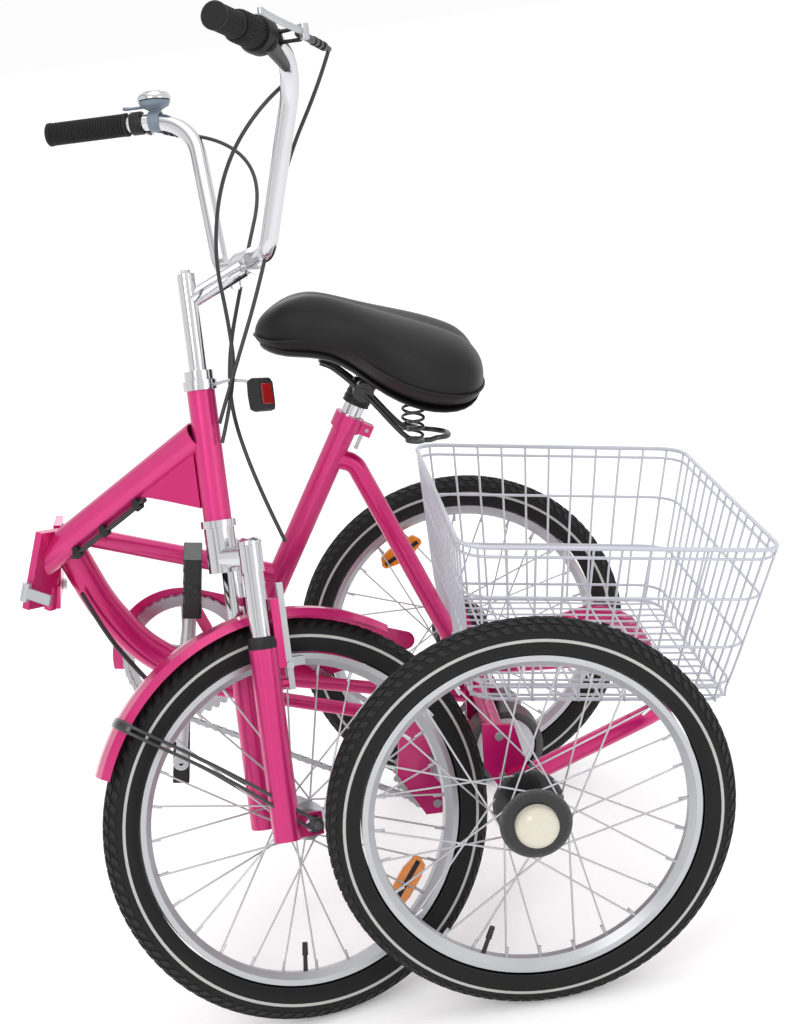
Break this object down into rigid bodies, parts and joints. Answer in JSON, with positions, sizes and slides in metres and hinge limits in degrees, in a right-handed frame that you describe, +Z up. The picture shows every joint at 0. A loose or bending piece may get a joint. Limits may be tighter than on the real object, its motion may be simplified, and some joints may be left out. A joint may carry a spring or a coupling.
{
  "type": "folding adult tricycle",
  "caption": "Folding adult tricycle with a hinged low-step frame, high handlebar, wide sprung saddle and rear wire basket, shown folded.",
  "frame": {"origin": "centre of the bounding box at floor level, tricycle folded and standing on its three tyres", "axes": "+Z up; +X towards the frame hinge, forwards for the rear half; +Y to the rider's left, the side the front half folds to"},
  "size_m": [0.9456, 0.772, 1.2345],
  "materials": {
    "magenta": "metallic magenta paint, clear coated",
    "chrome": "bright chrome plate",
    "steel": "plain zinc-plated steel",
    "alloy": "satin anodised rim alloy",
    "black_metal": "satin black enamel",
    "black_plastic": "fine-grained black",
    "grip": "ribbed dark rubber",
    "tyre": "block tread with a pale reflective band",
    "saddle": "padded synthetic leather, faint sheen",
    "basket": "white plastic-dipped wire",
    "cable": "black cable housing"
  },
  "bodies": {
    "rear_frame": {"lower_main_tube": "magenta", "seat_tube": "magenta", "upper_brace_tube": "magenta", "centre_stay": "magenta", "bottom_bracket": "magenta", "axle_brackets": "magenta", "rack_frame": "magenta", "chain_stays": "magenta", "basket": "basket", "rear_hinge_plate": "magenta", "drive_chains": "steel", "chain_guard": "magenta", "derailleur": "black_metal", "brake_cover": "black_metal", "seat_clamp": "magenta", "rear_cables": "cable"},
    "crank_bearings": {"crank_bearings": "steel"},
    "jackshaft": {"jackshaft_cassette": "steel"},
    "rear_axle": {"rear_axle": "steel", "right_tyre": "tyre", "right_rim": "alloy", "right_hub": "black_metal", "right_spokes": "steel"},
    "crankset": {"crankset": "steel"},
    "pedal_left": {"pedal_left": "black_plastic"},
    "pedal_right": {"pedal_right": "black_plastic"},
    "seat": {"seat_post": "chrome", "saddle_frame": "black_metal", "saddle": "saddle"},
    "seat_clamp_lever": {"seat_clamp_lever": "alloy"},
    "front_frame": {"head_tube": "magenta", "front_main_tube": "magenta", "front_hinge_plate": "magenta", "main_tube_cables": "cable"},
    "headset": {"headset_races": "chrome"},
    "hinge_latch": {"hinge_latch": "alloy"},
    "steering": {"fork_uppers": "chrome", "stem": "chrome", "handlebar": "chrome", "grips": "grip", "brake_perches": "alloy", "bell": "chrome", "control_cables": "cable"},
    "brake_lever_left": {"brake_lever_left": "alloy"},
    "brake_lever_right": {"brake_lever_right": "alloy"},
    "twist_shifter": {"twist_shifter": "black_plastic"},
    "bell_lever": {"bell_lever": "alloy"},
    "fork_lowers": {"fork_lowers": "magenta", "front_axle": "steel", "front_fender": "magenta"},
    "brake_arm_left": {"brake_arm_left": "alloy"},
    "brake_arm_right": {"brake_arm_right": "alloy"},
    "front_wheel": {"front_tyre": "tyre", "front_rim": "alloy", "front_hub": "steel", "front_spokes": "steel"},
    "left_wheel": {"left_tyre": "tyre", "left_rim": "alloy", "left_hub": "black_metal", "left_spokes": "steel"}
  },
  "joints": [
    {"name": "frame_fold", "type": "hinge", "parent": "rear_frame", "child": "front_frame", "pos_m": [0.43335, 0.021, 0.54471], "axis": [0.2401, 0.059, -0.9689], "range_deg": [0, 149.6]},
    {"name": "fork_swing", "type": "hinge", "parent": "front_frame", "child": "headset", "pos_m": [0.2119, 0.24441, 0.24855], "axis": [-0.0168, -0.2487, 0.9684], "range_deg": [0, 316.1]},
    {"name": "steering", "type": "hinge", "parent": "headset", "child": "steering", "pos_m": [0.2119, 0.24441, 0.24855], "axis": [0.0168, 0.2487, -0.9684], "range_deg": [-10, 9], "deforming": ["control_cables"]},
    {"name": "fork_travel", "type": "slide", "parent": "steering", "child": "fork_lowers", "axis": [-0.0168, -0.2487, 0.9684], "range_m": [0, 0.03], "stiffness_N_per_m": 9000},
    {"name": "front_wheel_spin", "type": "hinge", "parent": "fork_lowers", "child": "front_wheel", "pos_m": [0.15747, 0.22926, 0.24371], "axis": [0.2798, -0.931, -0.2343], "continuous": true},
    {"name": "left_wheel_spin", "type": "hinge", "parent": "rear_frame", "child": "left_wheel", "pos_m": [-0.1198, 0.332, 0.25], "axis": [0, 1, 0], "continuous": true},
    {"name": "axle_spin", "type": "hinge", "parent": "rear_frame", "child": "rear_axle", "pos_m": [-0.1198, 0, 0.25], "axis": [0, 1, 0], "continuous": true},
    {"name": "jackshaft_spin", "type": "hinge", "parent": "rear_frame", "child": "jackshaft", "pos_m": [-0.02366, 0, 0.15954], "axis": [0, 1, 0], "continuous": true},
    {"name": "crank_swing", "type": "hinge", "parent": "rear_frame", "child": "crank_bearings", "pos_m": [0.28401, 0, 0.37594], "axis": [0, 1, 0], "range_deg": [0, 360]},
    {"name": "crank_spin", "type": "hinge", "parent": "crank_bearings", "child": "crankset", "pos_m": [0.28401, 0, 0.37594], "axis": [0, 1, 0], "range_deg": [0, 280]},
    {"name": "pedal_left_spin", "type": "hinge", "parent": "crankset", "child": "pedal_left", "pos_m": [0.24988, 0.072, 0.53737], "axis": [0, 1, 0], "range_deg": [-10, 10]},
    {"name": "pedal_right_spin", "type": "hinge", "parent": "crankset", "child": "pedal_right", "pos_m": [0.31815, -0.085, 0.21451], "axis": [0, 1, 0], "continuous": true},
    {"name": "brake_lever_left", "type": "hinge", "parent": "steering", "child": "brake_lever_left", "pos_m": [0.22883, -0.24193, 1.07431], "axis": [-0.0595, -0.2357, 0.97], "range_deg": [0, 11], "stiffness_Nm_per_rad": 1},
    {"name": "brake_lever_right", "type": "hinge", "parent": "steering", "child": "brake_lever_right", "pos_m": [0.02146, 0.21031, 1.18668], "axis": [0.0362, 0.2873, -0.9571], "range_deg": [0, 11], "stiffness_Nm_per_rad": 1},
    {"name": "brake_arm_left", "type": "hinge", "parent": "fork_lowers", "child": "brake_arm_left", "pos_m": [0.20015, 0.15404, 0.40584], "axis": [-0.9599, -0.2671, -0.0853], "range_deg": [0, 5]},
    {"name": "brake_arm_right", "type": "hinge", "parent": "fork_lowers", "child": "brake_arm_right", "pos_m": [0.17552, 0.23597, 0.42645], "axis": [0.9599, 0.2671, 0.0853], "range_deg": [0, 5]},
    {"name": "shifter_twist", "type": "hinge", "parent": "steering", "child": "twist_shifter", "pos_m": [0.11834, 0.30278, 1.2181], "axis": [0.4336, 0.8584, 0.2741], "range_deg": [0, 75]},
    {"name": "bell_lever", "type": "hinge", "parent": "steering", "child": "bell_lever", "pos_m": [0.21591, -0.19728, 1.10499], "axis": [-0.0595, -0.2357, 0.97], "range_deg": [0, 25], "stiffness_Nm_per_rad": 0.2},
    {"name": "seat_height", "type": "slide", "parent": "rear_frame", "child": "seat", "axis": [-0.5156, 0, 0.8568], "range_m": [-0.012, 0.12]},
    {"name": "seat_clamp_lever", "type": "hinge", "parent": "rear_frame", "child": "seat_clamp_lever", "pos_m": [0.00147, -0.015, 0.67045], "axis": [-0.8568, 0, -0.5156], "range_deg": [0, 150]},
    {"name": "hinge_latch", "type": "hinge", "parent": "front_frame", "child": "hinge_latch", "pos_m": [0.46317, 0.07946, 0.5426], "axis": [0.3331, 0.0698, -0.9403], "range_deg": [0, 90]}
  ],
  "couplings": [
    {"joint": "fork_swing", "follows": "frame_fold", "ratio": 2.113},
    {"joint": "crank_swing", "follows": "frame_fold", "ratio": 2.4064},
    {"joint": "jackshaft_spin", "follows": "axle_spin", "ratio": 1},
    {"joint": "brake_arm_left", "follows": "brake_lever_left", "ratio": 0.45},
    {"joint": "brake_arm_right", "follows": "brake_lever_left", "ratio": 0.45}
  ]
}
